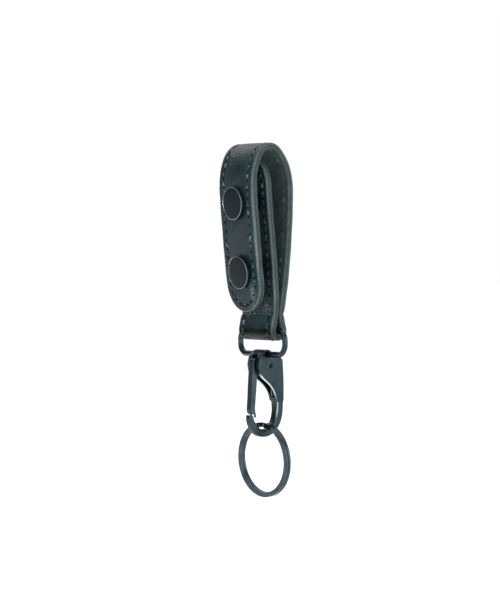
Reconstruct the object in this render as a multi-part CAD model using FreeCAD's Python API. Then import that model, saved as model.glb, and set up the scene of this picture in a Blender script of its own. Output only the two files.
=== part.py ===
"""Belt key strap: a snapped leather loop that carries a wire ring, a spring snap hook and a split key ring.

Millimetres. The origin is the middle of the loop's inner top, where it rests on a belt's upper edge.
+X runs across the strap's width, -Y is the side with the snap caps, +Z is up.
Each function returns the solid of one node, and NODES at the end names and writes them.
"""
import FreeCAD, Part
import math
import os

V = FreeCAD.Vector

# Strap: a two-layer strip, leather outside and lining inside, sewn near both edges.
STRAP_WIDTH = 22.5
END_RADIUS = STRAP_WIDTH / 2
LEATHER_SHARE = 0.55          # the outer leather's share of the strip's thickness
FLAP_END_Z = -64.6
TAB_TIP_Z = -3.0
THREAD_INSET = 3.0            # from the strip's edge to the middle of the stitch line
THREAD_WIDTH = 0.6
THREAD_HEIGHT = 0.25
THREAD_GAP = 0.7              # from the flex line to where a row of thread starts
CROSS_SEAM_Z = -65.4
CROSS_STITCHES = 6

# The strip's outer face as (y, z, thickness), from the flap's end over the arch and round the fold.
FLAP_POINTS = (
    (-5.2, -66.0, 2.7), (-5.8, -60.0, 2.7), (-7.0, -50.5, 2.9), (-8.1, -41.5, 3.0),
    (-9.1, -32.0, 3.1), (-9.9, -23.0, 3.1), (-10.3, -14.5, 3.0), (-9.9, -8.5, 2.9),
    (-8.5, -3.6, 2.8),
)
HINGE_Y = -5.5
HINGE_Z = 0.75
BACK_POINTS = (
    (-1.2, 2.6, 2.5), (2.6, 1.7, 2.5), (5.7, -1.4, 2.6), (8.1, -5.4, 2.7), (9.6, -10.0, 2.7),
    (10.2, -16.0, 2.7), (10.2, -24.0, 2.7), (9.9, -32.0, 2.7), (9.2, -41.0, 2.7),
    (8.2, -50.0, 2.7), (7.2, -58.0, 2.7), (6.35, -63.2, 2.65), (6.05, -65.6, 2.6),
)
TAB_POINTS = (
    (0.35, -65.6, 2.6), (0.85, -62.5, 2.65), (0.75, -57.5, 2.7), (0.05, -49.0, 2.7),
    (-0.75, -40.0, 2.7), (-1.7, -30.0, 2.7), (-2.6, -20.0, 2.7), (-3.15, -12.0, 2.7),
    (-3.4, -2.6, 2.7),
)
ARCH_GAP = 0.1                # half of the gap that parts the flap from the strap at its flex line
FLAP_SPANS = 8                # how many short faces each length of the strip is made of
STRAP_SPANS = 18
TAB_SPANS = 8

# Fold round the rectangular ring's top bar.
BAR_RADIUS = 1.2
FOLD_Y = 3.1
FOLD_Z = -71.9
FOLD_THICKNESS = 2.8
FOLD_RADIUS = BAR_RADIUS + 0.1 + FOLD_THICKNESS

# Rectangular ring, of round wire.
RING_SPAN = 30.6              # between the middles of its two legs
RING_DROP = 9.7               # between the middles of its two bars
RING_CORNER = 4.2

# Snap fasteners: two alike, at these heights.
SNAP_HEIGHTS = (("upper", -21.4), ("lower", -48.8))
CAP_RADIUS = 6.65
CAP_HEIGHT = 2.0
POST_RADIUS = 1.9
SOCKET_RADIUS = 5.6
SOCKET_HEIGHT = 2.3
SOCKET_MOUTH = 3.6
SNAP_SPRING_RADIUS = 3.15
SNAP_SPRING_WIRE = 0.3
STUD_FLANGE = 5.2
STUD_HEAD = 2.75
STUD_NECK = 2.45
EYELET_RADIUS = 4.6
EYELET_HEIGHT = 0.9

# Spring snap hook.
EYE_Y = FOLD_Y
EYE_Z = FOLD_Z - RING_DROP
EYE_HOLE = BAR_RADIUS + 0.08
SLOT_HALF = 1.75              # half the width of the channel that holds the gate
PIVOT_Y = 4.46
PIVOT_Z = -86.2
RIVET_RADIUS = 1.0
GATE_HALF = 1.55
GATE_SHEET = 0.45
SPRING_WIRE = 0.4
SPRING_RADIUS = 1.5
SPRING_TURNS = 2.3
SPRING_START = 20.0           # degrees round the rivet at which the first leg leaves the coil

# Split key ring, of flat band wound twice.
KEY_RING_RADIUS = 15.1
KEY_BAND = 2.0
KEY_COIL = 1.2
KEY_PITCH = 1.3
KEY_Y = 3.3
KEY_TOP_Z = -110.95           # inner top of the ring, just over the hook's bottom
KEY_Z = KEY_TOP_Z - (KEY_RING_RADIUS - KEY_BAND)
KEY_TURN = 5.0                # degrees that the ring has turned about the hook's bottom, seen from above
KEY_TIP = 3.0                 # degrees that its foot is tipped away from the snap caps


def fold_points():
    """Return points on the fold's outer arc, from the back round the bottom to the front."""
    points = []
    for degrees in (20, -15, -50, -90, -130, -165, -200):
        angle = math.radians(degrees)
        y = FOLD_Y + FOLD_RADIUS * math.cos(angle)
        z = FOLD_Z + FOLD_RADIUS * math.sin(angle)
        points.append((y, z, FOLD_THICKNESS))
    return points


def strip_curve():
    """Return the strip's outer face as one curve whose x is the thickness."""
    line = list(FLAP_POINTS) + [(HINGE_Y, HINGE_Z, 2.6)] + list(BACK_POINTS)
    line = line + fold_points() + list(TAB_POINTS)
    curve = Part.BSplineCurve()
    curve.interpolate([V(thickness, y, z) for y, z, thickness in line])
    return curve


STRIP = strip_curve()
FLEX = STRIP.parameter(V(2.6, HINGE_Y, HINGE_Z))
FOLD_TOP = STRIP.parameter(V(FOLD_THICKNESS, FOLD_Y - FOLD_RADIUS, FOLD_Z))


def strip_point(parameter, depth):
    """Return a point at a share of the thickness under the outer face, or a height over it if negative."""
    point = STRIP.value(parameter)
    tangent = STRIP.tangent(parameter)[0]
    inward = V(0, tangent.z, -tangent.y).normalize()
    distance = depth * point.x if depth > 0 else depth
    return V(0, point.y, point.z) + inward * distance


def spans_of(curve, count):
    """Return a curve as a chain of short edges."""
    first = curve.FirstParameter
    step = (curve.LastParameter - first) / count
    return [curve.toShape(first + step * i, first + step * (i + 1)) for i in range(count)]


def strip_layer(first, last, top, bottom, spans):
    """Return a full-width slab of the strip between two depths, from one parameter to another."""
    samples = 6 * spans
    steps = [first + (last - first) * i / samples for i in range(samples + 1)]
    upper = Part.BSplineCurve()
    upper.interpolate([strip_point(step, top) for step in steps])
    lower = Part.BSplineCurve()
    lower.interpolate([strip_point(step, bottom) for step in steps])
    near_end = Part.makeLine(upper.value(upper.FirstParameter), lower.value(lower.FirstParameter))
    far_end = Part.makeLine(upper.value(upper.LastParameter), lower.value(lower.LastParameter))
    edges = spans_of(upper, spans) + [far_end] + spans_of(lower, spans) + [near_end]
    face = Part.Face(Part.Wire(Part.__sortEdges__(edges)))
    face.translate(V(-STRAP_WIDTH / 2, 0, 0))
    return face.extrude(V(STRAP_WIDTH, 0, 0))


def outline_prism(half_width, tip_z, base_z, y_low, y_high):
    """Return a prism along Y whose outline is a strip with a half-round end at tip_z."""
    toward_tip = 1 if tip_z > base_z else -1
    centre_z = tip_z - toward_tip * END_RADIUS
    round_z = centre_z + toward_tip * half_width
    left = V(-half_width, y_low, base_z)
    right = V(half_width, y_low, base_z)
    left_turn = V(-half_width, y_low, centre_z)
    right_turn = V(half_width, y_low, centre_z)
    edges = [
        Part.makeLine(left, left_turn),
        Part.Arc(left_turn, V(0, y_low, round_z), right_turn).toShape(),
        Part.makeLine(right_turn, right),
        Part.makeLine(right, left),
    ]
    return Part.Face(Part.Wire(edges)).extrude(V(0, y_high - y_low, 0))


def thread_band(tip_z, base_z, y_low, y_high):
    """Return the prism of the stitch line, which follows the edge at the thread's inset."""
    outer = outline_prism(STRAP_WIDTH / 2 - THREAD_INSET + THREAD_WIDTH / 2, tip_z, base_z, y_low, y_high)
    inner = outline_prism(STRAP_WIDTH / 2 - THREAD_INSET - THREAD_WIDTH / 2, tip_z, base_z, y_low, y_high)
    return outer.cut(inner)


def plain_box(x, y, z):
    """Return a box from three (low, high) pairs."""
    return Part.makeBox(x[1] - x[0], y[1] - y[0], z[1] - z[0], V(x[0], y[0], z[0]))


def flap_layer(top, bottom):
    """Return a layer of the flap, with its half-round end."""
    slab = strip_layer(STRIP.FirstParameter, FLEX - ARCH_GAP, top, bottom, FLAP_SPANS)
    return slab.common(outline_prism(STRAP_WIDTH / 2, FLAP_END_Z, 10, -20, 5))


def strap_layer(top, bottom):
    """Return a layer of the strap from the flex line round the fold to the tab's half-round tip."""
    slab = strip_layer(FLEX + ARCH_GAP, STRIP.LastParameter, top, bottom, STRAP_SPANS)
    corners = plain_box((-12, 12), (-4.9, 2.0), (-14, -2.2))
    return slab.cut(corners.cut(outline_prism(STRAP_WIDTH / 2, TAB_TIP_Z, -20, -6, 4)))


def snap_axis(height):
    """Return where a snap's axis meets the flap's outer face, its direction inwards, and the thickness there."""
    low = STRIP.FirstParameter
    high = STRIP.parameter(V(2.8, -8.5, -3.6))
    for _ in range(40):
        middle = (low + high) / 2
        if STRIP.value(middle).z < height:
            low = middle
        else:
            high = middle
    tangent = STRIP.tangent(low)[0]
    return strip_point(low, 0), V(0, tangent.z, -tangent.y).normalize(), STRIP.value(low).x


def tab_distance(height):
    """Return how far along a snap's axis the tab's front face and back face lie."""
    start, axis, _ = snap_axis(height)
    ray = Part.makeLine(start + axis * 3.5, start + axis * 12)
    tab = strip_layer(FOLD_TOP, STRIP.LastParameter, 0, 1, TAB_SPANS)
    crossing = tab.common(ray)
    near = [(vertex.Point - start).dot(axis) for vertex in crossing.Vertexes]
    return min(near), max(near)


def turned(profile, height, offset):
    """Return a ring or disc turned from (radius, distance) points about a snap's axis."""
    start, axis, _ = snap_axis(height)
    start = start + axis * offset
    side = V(1, 0, 0)
    points = [start + side * radius + axis * distance for radius, distance in profile]
    wire = Part.makePolygon(points + [points[0]])
    return Part.Face(wire).revolve(start, axis, 360)


def snap_cap(height):
    """Return a cap: a shallow dome with a rolled rim, and the post that goes through the flap."""
    reach = snap_axis(height)[2] + 0.6
    profile = (
        (0, -CAP_HEIGHT), (2.5, -CAP_HEIGHT + 0.03), (4.6, -CAP_HEIGHT + 0.12), (5.7, -CAP_HEIGHT + 0.3),
        (6.3, -CAP_HEIGHT + 0.7), (CAP_RADIUS, -0.9), (CAP_RADIUS, -0.35), (6.3, 0.05), (POST_RADIUS, 0.05),
        (POST_RADIUS, reach), (0, reach),
    )
    return turned(profile, height, 0)


def snap_socket(height):
    """Return a socket: the cup inside the flap that the cap's post is set into."""
    floor = 0.5
    profile = (
        (POST_RADIUS, 0), (SOCKET_RADIUS, 0), (SOCKET_RADIUS, 0.9), (4.7, SOCKET_HEIGHT),
        (SOCKET_MOUTH, SOCKET_HEIGHT), (SOCKET_MOUTH, 1.75), (4.0, 1.75), (4.0, floor), (POST_RADIUS, floor),
    )
    return turned(profile, height, snap_axis(height)[2])


def snap_spring(height):
    """Return the wire ring in the socket that grips the stud's neck."""
    start, axis, thickness = snap_axis(height)
    centre = start + axis * (thickness + 1.3)
    return Part.makeTorus(SNAP_SPRING_RADIUS, SNAP_SPRING_WIRE, centre, axis)


def snap_stud(height):
    """Return a stud: a flange on the tab's front face and the headed post that the socket takes."""
    front = tab_distance(height)[0]
    reach = front - snap_axis(height)[2] - 0.95
    profile = (
        (0, 0.05), (STUD_FLANGE, 0.05), (STUD_FLANGE, -0.4), (4.4, -0.7), (STUD_NECK, -0.8),
        (STUD_NECK, -reach + 1.0), (STUD_HEAD, -reach + 0.6), (STUD_HEAD, -reach + 0.3),
        (STUD_NECK, -reach), (0, -reach),
    )
    return turned(profile, height, front)


def snap_eyelet(height):
    """Return the eyelet on the tab's back face, whose tube goes through the tab into the stud."""
    front, back = tab_distance(height)
    profile = (
        (1.1, front - back + 0.1), (POST_RADIUS, front - back + 0.1), (POST_RADIUS, -0.05),
        (EYELET_RADIUS, -0.05), (EYELET_RADIUS, 0.3), (3.6, EYELET_HEIGHT - 0.15),
        (2.4, EYELET_HEIGHT - 0.15), (1.6, 0.35), (1.1, 0.2),
    )
    return turned(profile, height, back)


def punched(layer):
    """Return a strip layer with the holes that the snap posts go through."""
    for _, height in SNAP_HEIGHTS:
        start, axis, _ = snap_axis(height)
        layer = layer.cut(Part.makeCylinder(POST_RADIUS, 12, start - axis, axis))
    return layer


def flap_thread():
    """Return the flap's two rows of edge thread, one on each face, round its half-round end."""
    band = thread_band(FLAP_END_Z, 10, -20, 5)
    first = STRIP.FirstParameter
    last = FLEX - THREAD_GAP
    outside = strip_layer(first, last, 0, -THREAD_HEIGHT, FLAP_SPANS)
    inside = strip_layer(first, last, 1, 1 + THREAD_HEIGHT / 3, FLAP_SPANS)
    return Part.Compound([outside.common(band), inside.common(band)])


def strap_thread():
    """Return the strap's rows of edge thread on its outer face, from the flex line to the tab's tip."""
    slab = strip_layer(FLEX + THREAD_GAP, STRIP.LastParameter, 0, -THREAD_HEIGHT, STRAP_SPANS)
    inset = STRAP_WIDTH / 2 - THREAD_INSET
    low = inset - THREAD_WIDTH / 2
    high = inset + THREAD_WIDTH / 2
    back = plain_box((-20, 20), (2.3, 30), (-90, 10))
    arch = plain_box((-20, 20), (-20, 30), (-1.2, 10))
    rows = [plain_box((low, high), (-30, 30), (-90, 10)), plain_box((-high, -low), (-30, 30), (-90, 10))]
    solids = [slab.common(row).common(back.fuse(arch)) for row in rows]
    tab = strip_layer(FOLD_TOP, STRIP.LastParameter, 0, -THREAD_HEIGHT, TAB_SPANS)
    solids.append(tab.common(thread_band(TAB_TIP_Z, -63.0, -5.5, 5)))
    return Part.Compound(solids)


def cross_seam():
    """Return the row of stitches that sews the tab to the strap just above the fold."""
    solids = []
    pitch = (STRAP_WIDTH - 3) / CROSS_STITCHES
    for row in range(CROSS_STITCHES):
        x = -(STRAP_WIDTH - 3) / 2 + pitch * (row + 0.5)
        solids.append(Part.makeCylinder(0.25, 6.1, V(x - pitch / 3, 0.15, CROSS_SEAM_Z), V(0, 1, 0)))
        for y in (0.2, 6.2):
            solids.append(Part.makeCylinder(0.3, pitch * 0.7, V(x - pitch * 0.35, y, CROSS_SEAM_Z), V(1, 0, 0)))
    joined = solids[0].multiFuse(solids[1:])
    return joined


def rectangular_ring():
    """Return the ring: round wire bent to a flat rectangle with rounded corners."""
    half = RING_SPAN / 2
    low = EYE_Z
    high = FOLD_Z
    r = RING_CORNER
    bend = r * (1 - math.sqrt(0.5))
    starts = (
        (V(-half + r, EYE_Y, low), V(half - r, EYE_Y, low), V(half - bend, EYE_Y, low + bend)),
        (V(half, EYE_Y, low + r), V(half, EYE_Y, high - r), V(half - bend, EYE_Y, high - bend)),
        (V(half - r, EYE_Y, high), V(-half + r, EYE_Y, high), V(-half + bend, EYE_Y, high - bend)),
        (V(-half, EYE_Y, high - r), V(-half, EYE_Y, low + r), V(-half + bend, EYE_Y, low + bend)),
    )
    edges = []
    for index, (begin, end, corner) in enumerate(starts):
        following = starts[(index + 1) % 4][0]
        edges.append(Part.makeLine(begin, end))
        edges.append(Part.Arc(end, corner, following).toShape())
    path = Part.Wire(edges)
    circle = Part.Wire(Part.makeCircle(BAR_RADIUS, V(-half + r, EYE_Y, low), V(1, 0, 0)))
    return path.makePipeShell([circle], True, False)


def spline_edge(points):
    """Return a smooth edge through (y, z) points in the middle plane."""
    curve = Part.BSplineCurve()
    curve.interpolate([V(0, y, z) for y, z in points])
    return curve.toShape()


def upper_body():
    """Return the hook's wide part: eye, shoulders and the two walls, with tapering sides."""
    front = (
        (5.3, -82.5), (5.15, -81.3), (4.5, -80.25), (3.1, -79.75), (1.6, -80.1), (0.2, -81.2), (-0.95, -83.0),
        (-1.5, -85.5), (-1.25, -87.8), (-0.2, -89.7), (1.5, -91.4), (4.1, -93.4), (5.9, -95.2),
        (7.3, -97.4), (8.4, -100.6),
    )
    back = ((11.7, -100.6), (11.35, -96.0), (10.65, -90.0), (10.2, -85.0))
    edges = [
        spline_edge(front),
        Part.makeLine(V(0, 8.4, -100.6), V(0, 11.7, -100.6)),
        spline_edge(back),
        Part.Arc(V(0, 10.2, -85.0), V(0, 9.75, -83.4), V(0, 8.4, -82.8)).toShape(),
        Part.makeLine(V(0, 8.4, -82.8), V(0, 5.3, -82.5)),
    ]
    face = Part.Face(Part.Wire(edges))
    face.translate(V(-5, 0, 0))
    blank = face.extrude(V(10, 0, 0))
    side = ((3.8, -78.5), (4.1, -82.0), (4.15, -87.0), (3.7, -92.5), (3.0, -97.5), (2.6, -101.5))
    right = Part.BSplineCurve()
    right.interpolate([V(x, -6, z) for x, z in side])
    left = Part.BSplineCurve()
    left.interpolate([V(-x, -6, z) for x, z in side])
    top = Part.makeLine(V(-side[0][0], -6, side[0][1]), V(side[0][0], -6, side[0][1]))
    bottom = Part.makeLine(V(side[-1][0], -6, side[-1][1]), V(-side[-1][0], -6, side[-1][1]))
    taper = Part.Face(Part.Wire([top, right.toShape(), bottom, left.toShape()]))
    return blank.common(taper.extrude(V(0, 20, 0)))


def hook_arm():
    """Return the hook's spine, round bottom and nose, lofted through rounded sections."""
    stations = (
        (10.15, -98.0, 1.6, 2.6), (10.3, -101.5, 1.6, 2.4), (10.2, -105.0, 1.6, 2.25),
        (9.4, -108.5, 1.6, 2.1), (7.3, -111.6, 1.55, 2.0), (4.0, -113.3, 1.5, 1.9),
        (1.0, -113.0, 1.5, 1.8), (-1.3, -111.2, 1.4, 1.7), (-2.7, -108.9, 1.25, 1.6),
        (-3.2, -107.2, 1.1, 1.5), (-3.2, -106.0, 0.9, 1.4),
    )
    centre = Part.BSplineCurve()
    centre.interpolate([V(0, y, z) for y, z, _, _ in stations])
    wires = []
    for y, z, half_depth, half_width in stations:
        along = centre.tangent(centre.parameter(V(0, y, z)))[0]
        across = V(0, along.z, -along.y)
        wires.append(rounded_section(V(0, y, z), across, half_depth, half_width))
    return Part.makeLoft(wires, True, False)


def rounded_section(centre, across, half_depth, half_width):
    """Return a rounded rectangle about a point, half_width along X and half_depth across."""
    radius = 0.5 * half_depth
    side = V(1, 0, 0)
    edges = []
    corners = ((1, 1), (-1, 1), (-1, -1), (1, -1))
    for index, (a, b) in enumerate(corners):
        hub = centre + side * (a * (half_width - radius)) + across * (b * (half_depth - radius))
        first, last = (side * a, across * b) if index % 2 == 0 else (across * b, side * a)
        middle = (first + last).normalize()
        arc = Part.Arc(hub + first * radius, hub + middle * radius, hub + last * radius)
        edges.append(arc.toShape())
    wires = []
    for index, arc in enumerate(edges):
        following = edges[(index + 1) % 4]
        wires.append(arc)
        wires.append(Part.makeLine(arc.valueAt(arc.LastParameter), following.valueAt(following.FirstParameter)))
    return Part.Wire(wires)


def gate_slot():
    """Return the channel that is cut into the hook's body for the gate and its spring."""
    outline = (
        (-6.0, -79.5), (0.45, -80.6), (0.75, -82.2), (1.7, -83.3), (3.1, -83.7), (7.4, -83.9),
        (7.7, -88.0), (8.3, -94.0), (9.0, -99.0), (-6.0, -99.0),
    )
    wire = Part.makePolygon([V(-SLOT_HALF, y, z) for y, z in outline + outline[:1]])
    return Part.Face(wire).extrude(V(2 * SLOT_HALF, 0, 0))


def hook_body():
    """Return the cast hook: eye, slotted body, spine, bottom and nose."""
    body = upper_body().fuse(hook_arm())
    body = body.cut(gate_slot())
    body = body.cut(Part.makeCylinder(EYE_HOLE, 12, V(-6, EYE_Y, EYE_Z), V(1, 0, 0)))
    return body.cut(Part.makeCylinder(RIVET_RADIUS, 12, V(-6, PIVOT_Y, PIVOT_Z), V(1, 0, 0)))


def gate_rivet():
    """Return the rivet that the gate turns on, with a low rim and a dimple at each end."""
    half = 4.15
    rivet = Part.makeCylinder(RIVET_RADIUS, 2 * half, V(-half, PIVOT_Y, PIVOT_Z), V(1, 0, 0))
    for side in (-1, 1):
        face = V(side * half, PIVOT_Y, PIVOT_Z)
        rivet = rivet.fuse(Part.makeCylinder(1.9, 0.2, face - V(side * 0.02, 0, 0), V(side, 0, 0)))
        rivet = rivet.cut(Part.makeCone(0.95, 0.25, 0.75, face + V(side * 0.2, 0, 0), V(-side, 0, 0)))
    return rivet


def gate_flange():
    """Return the outline of the gate's side: eye, arm, long side and the notched tongue."""
    top = ((4.46, -84.3), (2.2, -84.15), (0.2, -83.25), (-1.3, -83.05), (-2.5, -84.6))
    below = ((-0.7, -92.5), (-0.45, -90.8), (0.6, -89.2), (2.3, -88.4), (4.46, -88.1))
    corners = (
        (-2.5, -84.6), (-3.65, -103.7), (-3.5, -104.9), (-2.9, -105.6), (-2.0, -105.7), (-2.0, -106.9),
        (-0.95, -106.9), (-1.6, -103.4), (-0.7, -92.5),
    )
    edges = [spline_edge(top)]
    edges += [Part.makeLine(V(0, *a), V(0, *b)) for a, b in zip(corners, corners[1:])]
    edges.append(spline_edge(below))
    edges.append(Part.Arc(V(0, 4.46, -88.1), V(0, 6.36, -86.2), V(0, 4.46, -84.3)).toShape())
    return Part.Face(Part.Wire(edges))


def hook_gate():
    """Return the gate: sheet bent to a U, open to the inside, turning on the rivet."""
    side = gate_flange()
    side.translate(V(-GATE_HALF, 0, 0))
    gate = side.extrude(V(2 * GATE_HALF, 0, 0))
    inner = GATE_HALF - GATE_SHEET
    hollow = ((-1.6, -80.0), (-2.0, -84.7), (-3.2, -103.7), (-3.2, -108.0), (8.0, -108.0), (8.0, -80.0))
    wire = Part.makePolygon([V(-inner, y, z) for y, z in hollow + hollow[:1]])
    gate = gate.cut(Part.Face(wire).extrude(V(2 * inner, 0, 0)))
    return gate.cut(Part.makeCylinder(RIVET_RADIUS + 0.07, 12, V(-6, PIVOT_Y, PIVOT_Z), V(1, 0, 0)))


def gate_spring():
    """Return the torsion spring: turns round the rivet, a leg down the back wall and a leg to the gate."""
    pitch = SPRING_WIRE + 0.05
    length = pitch * SPRING_TURNS
    helix = Part.makeHelix(pitch, length, SPRING_RADIUS)
    circle = Part.Wire(Part.makeCircle(SPRING_WIRE / 2, V(SPRING_RADIUS, 0, 0), V(0, 1, 0)))
    coil = Part.Wire(helix.Edges).makePipeShell([circle], True, True)
    last = 2 * math.pi * SPRING_TURNS
    leave = V(SPRING_RADIUS * math.cos(last), SPRING_RADIUS * math.sin(last), length)
    back_leg = Part.makeCylinder(SPRING_WIRE / 2, 4.0, V(SPRING_RADIUS, 0, 0), V(0, -1, 0))
    gate_leg = Part.makeCylinder(SPRING_WIRE / 2, 6.8, leave, V(-math.sin(last), math.cos(last), 0))
    spring = coil.multiFuse([back_leg, gate_leg])
    spring.translate(V(0, 0, -length / 2))
    spring.rotate(V(0, 0, 0), V(0, 0, 1), SPRING_START)
    # The spring is made flat on X and Y, then turned so that its axis lies along X.
    spring.rotate(V(0, 0, 0), V(1, 1, 1), 120)
    spring.translate(V(0, PIVOT_Y, PIVOT_Z))
    return spring


def key_ring():
    """Return the split ring: flat band wound twice, with square ends."""
    middle = KEY_RING_RADIUS - KEY_BAND / 2
    turns = 2
    helix = Part.makeHelix(KEY_PITCH, KEY_PITCH * turns, middle)
    low = middle - KEY_BAND / 2
    high = middle + KEY_BAND / 2
    half = KEY_COIL / 2
    corners = [V(low, 0, -half), V(high, 0, -half), V(high, 0, half), V(low, 0, half)]
    profile = Part.makePolygon(corners + corners[:1])
    ring = Part.Wire(helix.Edges).makePipeShell([profile], True, True)
    ring.translate(V(0, 0, -KEY_PITCH * turns / 2))
    ring.rotate(V(0, 0, 0), V(1, 0, 0), 90)
    ring.rotate(V(0, 0, 0), V(0, 1, 0), 50)
    ring.translate(V(0, KEY_Y, KEY_Z))
    top = V(0, KEY_Y, KEY_TOP_Z)
    ring.rotate(top, V(1, 0, 0), KEY_TIP)
    ring.rotate(top, V(0, 0, 1), KEY_TURN)
    return ring


NODES = {
    "strap_outer_leather": lambda: punched(strap_layer(0, LEATHER_SHARE)),
    "strap_lining": lambda: punched(strap_layer(LEATHER_SHARE, 1)),
    "strap_edge_thread": strap_thread,
    "cross_seam_thread": cross_seam,
    "flap_outer_leather": lambda: punched(flap_layer(0, LEATHER_SHARE)),
    "flap_lining": lambda: punched(flap_layer(LEATHER_SHARE, 1)),
    "flap_edge_thread": flap_thread,
    "rectangular_ring": rectangular_ring,
    "hook_body": hook_body,
    "hook_gate": hook_gate,
    "gate_rivet": gate_rivet,
    "gate_spring": gate_spring,
    "key_ring": key_ring,
}
for place, level in SNAP_HEIGHTS:
    NODES["snap_cap_" + place] = lambda z=level: snap_cap(z)
    NODES["snap_socket_" + place] = lambda z=level: snap_socket(z)
    NODES["snap_spring_" + place] = lambda z=level: snap_spring(z)
    NODES["snap_stud_" + place] = lambda z=level: snap_stud(z)
    NODES["snap_eyelet_" + place] = lambda z=level: snap_eyelet(z)

os.makedirs("parts", exist_ok=True)
for name, make in NODES.items():
    shape = make()
    shape.exportStep("parts/" + name + ".step")
    print(name, "valid", shape.isValid(), "solids", len(shape.Solids), "mm3", round(shape.Volume, 2))
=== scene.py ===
"""Looks of a belt key strap: leather loop, snaps, wire ring, spring snap hook and split key ring.

Lengths inside the classes are millimetres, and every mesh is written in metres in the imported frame:
+X across the strap, -Y towards the snap caps, +Z up, origin at the middle of the loop's inner top.
"""

import logging
import math
from collections.abc import Callable
from dataclasses import dataclass, field
from enum import Enum
from typing import Any

import bmesh
import bpy
import numpy as np
from mathutils import Matrix, Vector


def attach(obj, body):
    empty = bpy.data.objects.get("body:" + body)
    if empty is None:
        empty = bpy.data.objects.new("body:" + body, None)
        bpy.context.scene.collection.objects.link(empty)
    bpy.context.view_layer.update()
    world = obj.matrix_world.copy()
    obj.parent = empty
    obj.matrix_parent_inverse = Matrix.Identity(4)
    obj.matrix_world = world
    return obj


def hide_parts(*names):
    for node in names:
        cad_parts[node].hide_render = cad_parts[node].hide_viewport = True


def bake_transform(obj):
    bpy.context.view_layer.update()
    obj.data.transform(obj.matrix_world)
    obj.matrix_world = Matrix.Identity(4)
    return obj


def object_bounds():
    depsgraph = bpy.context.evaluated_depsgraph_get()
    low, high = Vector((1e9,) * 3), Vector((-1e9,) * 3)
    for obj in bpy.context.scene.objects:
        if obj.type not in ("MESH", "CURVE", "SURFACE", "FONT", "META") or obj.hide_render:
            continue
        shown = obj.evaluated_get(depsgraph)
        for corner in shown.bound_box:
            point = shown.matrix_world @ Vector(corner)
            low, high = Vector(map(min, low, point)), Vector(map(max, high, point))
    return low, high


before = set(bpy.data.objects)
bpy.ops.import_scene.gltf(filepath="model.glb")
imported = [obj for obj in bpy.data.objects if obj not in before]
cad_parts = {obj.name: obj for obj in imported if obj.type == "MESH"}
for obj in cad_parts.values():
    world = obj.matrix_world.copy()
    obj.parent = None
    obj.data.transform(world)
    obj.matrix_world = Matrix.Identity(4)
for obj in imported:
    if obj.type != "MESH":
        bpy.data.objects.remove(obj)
CAD_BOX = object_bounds()

MM = 0.001
LOG = logging.getLogger("belt_key_strap")
Array = np.ndarray
Socket = bpy.types.NodeSocket
SNAP_HEIGHTS = {"upper": -21.4, "lower": -48.8}


# ---------------------------------------------------------------- shapes

def smooth_line(points: Array, count: int) -> Array:
    """Return a smooth line through points: a cubic through each gap whose bends match at every point.

    Args:
        points: the points to pass, one row each.
        count: how many samples to return.
    Returns:
        Array of count rows, evenly spaced in chord length.
    """
    points = np.asarray(points, float)
    gaps = np.linalg.norm(np.diff(points[:, -2:], axis=0), axis=1)
    knots = np.concatenate([[0.0], np.cumsum(gaps)])
    size = len(points)
    system = np.eye(size)
    right = np.zeros_like(points)
    inner = np.arange(1, size - 1)
    system[inner, inner - 1] = gaps[:-1]
    system[inner, inner] = 2 * (gaps[:-1] + gaps[1:])
    system[inner, inner + 1] = gaps[1:]
    slopes = np.diff(points, axis=0) / gaps[:, None]
    right[1:-1] = 6 * np.diff(slopes, axis=0)
    bends = np.linalg.solve(system, right)
    at = np.linspace(0.0, knots[-1], count)
    cell = np.clip(np.searchsorted(knots, at, side="right") - 1, 0, size - 2)
    gap = gaps[cell][:, None]
    ahead = (knots[cell + 1] - at)[:, None]
    behind = (at - knots[cell])[:, None]
    cubic = (bends[cell] * ahead**3 + bends[cell + 1] * behind**3) / (6 * gap)
    straight = (points[cell] / gap - bends[cell] * gap / 6) * ahead
    return cubic + straight + (points[cell + 1] / gap - bends[cell + 1] * gap / 6) * behind


def bump(value: Array, centre: float, width: float) -> Array:
    """Return a bell curve: 1 at centre, falling off over width on each side."""
    return np.exp(-(((value - centre) / width) ** 2))


def ease(value: Array, low: float, high: float) -> Array:
    """Return a smooth step from 0 at low to 1 at high."""
    share = np.clip((value - low) / (high - low), 0.0, 1.0)
    return share * share * (3 - 2 * share)


def grid_faces(rows: int, columns: int, closed_rows: bool = False, closed_columns: bool = False) -> Array:
    """Return the quads of a grid whose vertices run row by row, wrapping where it is closed."""
    row = np.arange(rows if closed_rows else rows - 1)[:, None]
    column = np.arange(columns if closed_columns else columns - 1)[None, :]
    below = (row + 1) % rows
    beside = (column + 1) % columns
    corners = [row * columns + column, below * columns + column, below * columns + beside, row * columns + beside]
    return np.stack([np.broadcast_to(c, np.broadcast(row, column).shape) for c in corners], -1).reshape(-1, 4)


def outward(points: Array, quads: Array) -> Array:
    """Return the quads turned, if needed, so that the solid that they close has a positive volume."""
    a, b, c, d = (points[quads[:, i]] for i in range(4))
    volume = np.einsum("ij,ij->i", a, np.cross(b, c)).sum() + np.einsum("ij,ij->i", a, np.cross(c, d)).sum()
    return quads if volume > 0 else quads[:, ::-1]


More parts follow.
